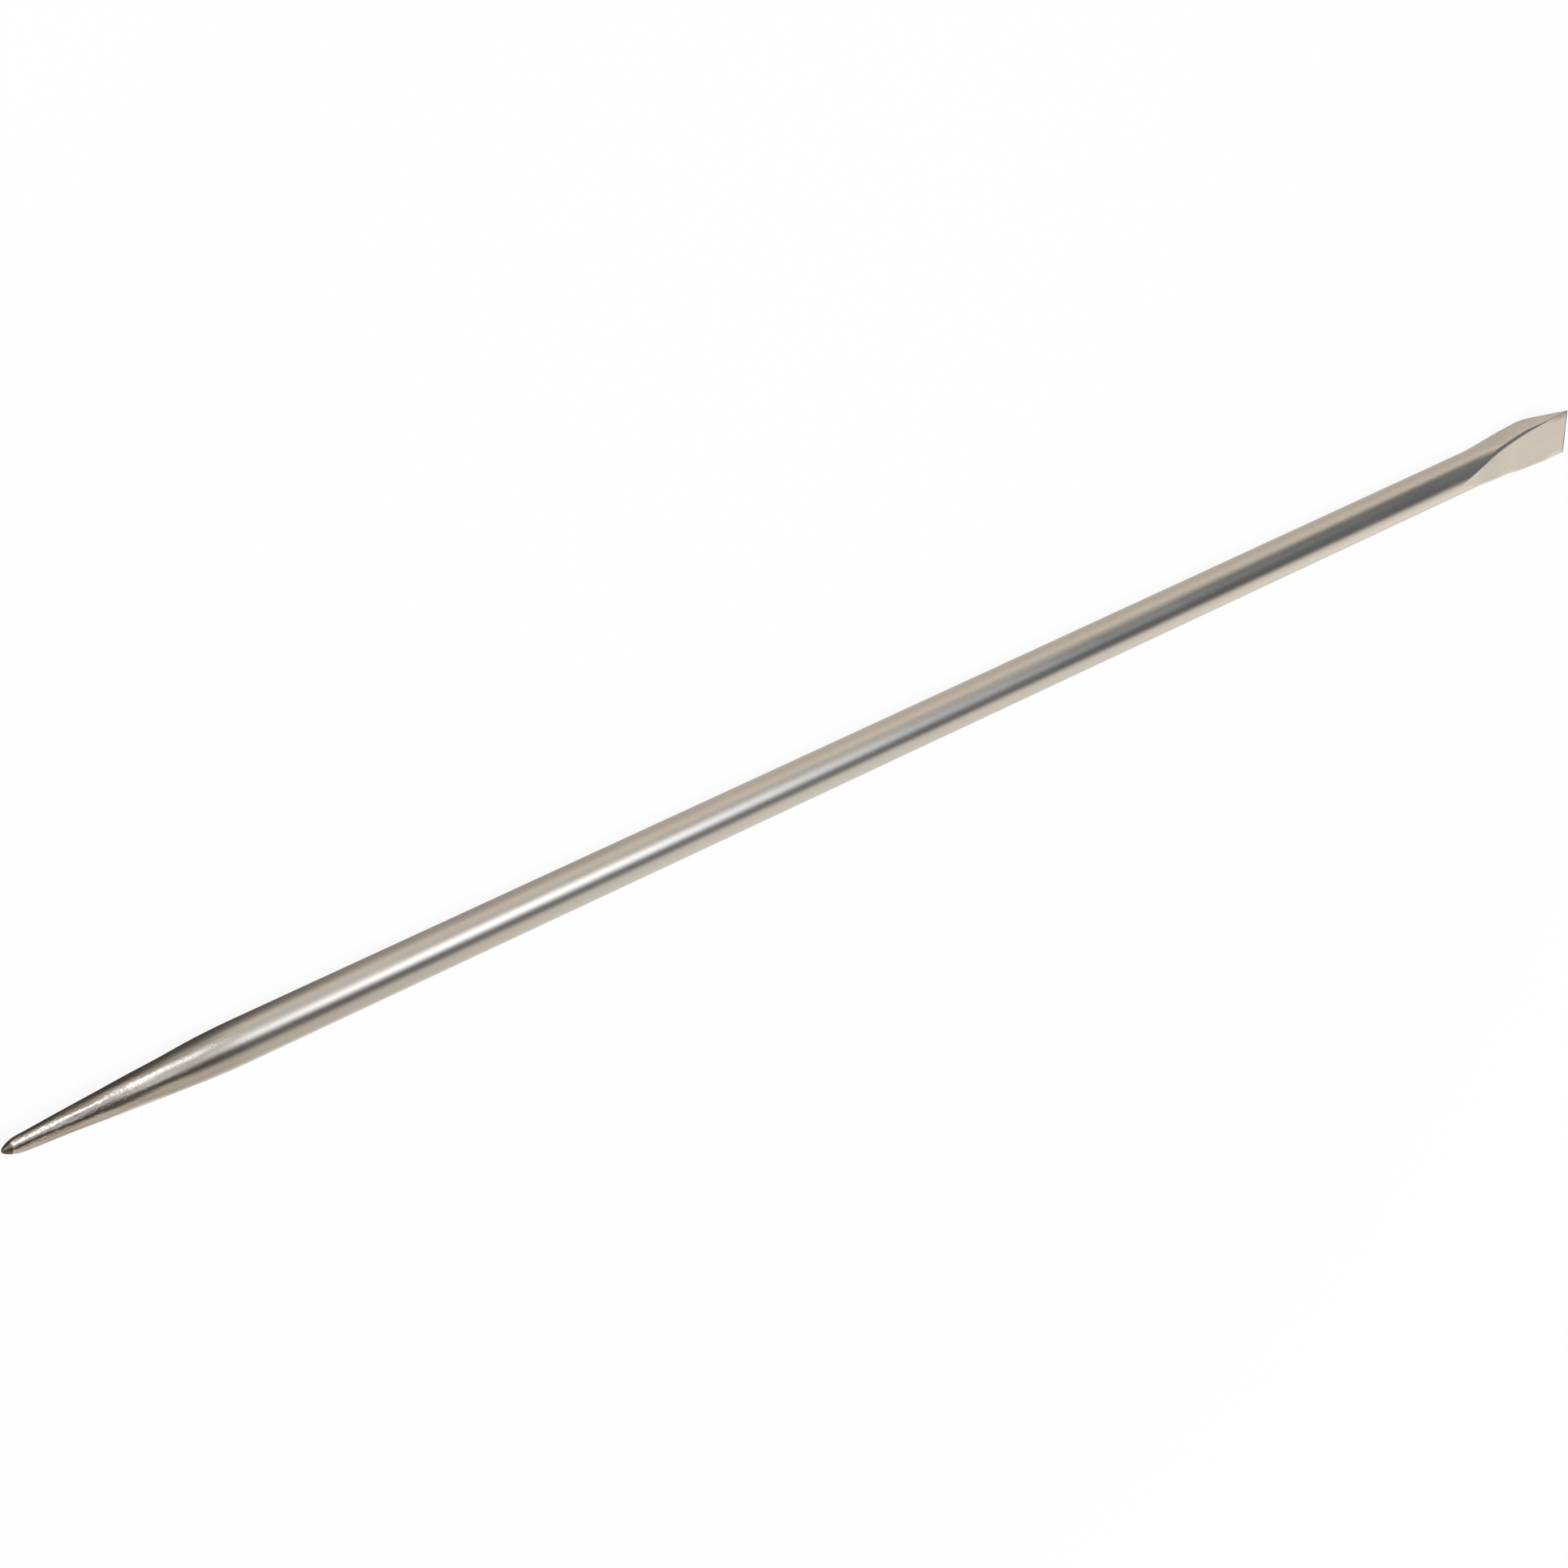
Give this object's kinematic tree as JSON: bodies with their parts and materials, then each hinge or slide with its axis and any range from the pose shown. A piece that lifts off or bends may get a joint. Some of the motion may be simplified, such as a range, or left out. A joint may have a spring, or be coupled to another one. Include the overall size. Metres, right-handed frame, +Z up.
{
  "type": "pinch bar",
  "caption": "Forged steel pinch bar: a round shank with a long tapered point at one end and a flat-faced chisel with a bevelled heel at the other.",
  "frame": {"origin": "on the ground under the middle of the bar, which lies on its round shank", "axes": "+X runs along the bar from the point to the chisel edge; +Y runs along the chisel edge; +Z is up, and the chisel's flat face looks along it"},
  "size_m": [0.9144, 0.0234, 0.0187],
  "materials": {
    "bar_steel": "satin polish, slightly warm"
  },
  "bodies": {
    "root": {"pinch_bar": "bar_steel"}
  },
  "joints": []
}
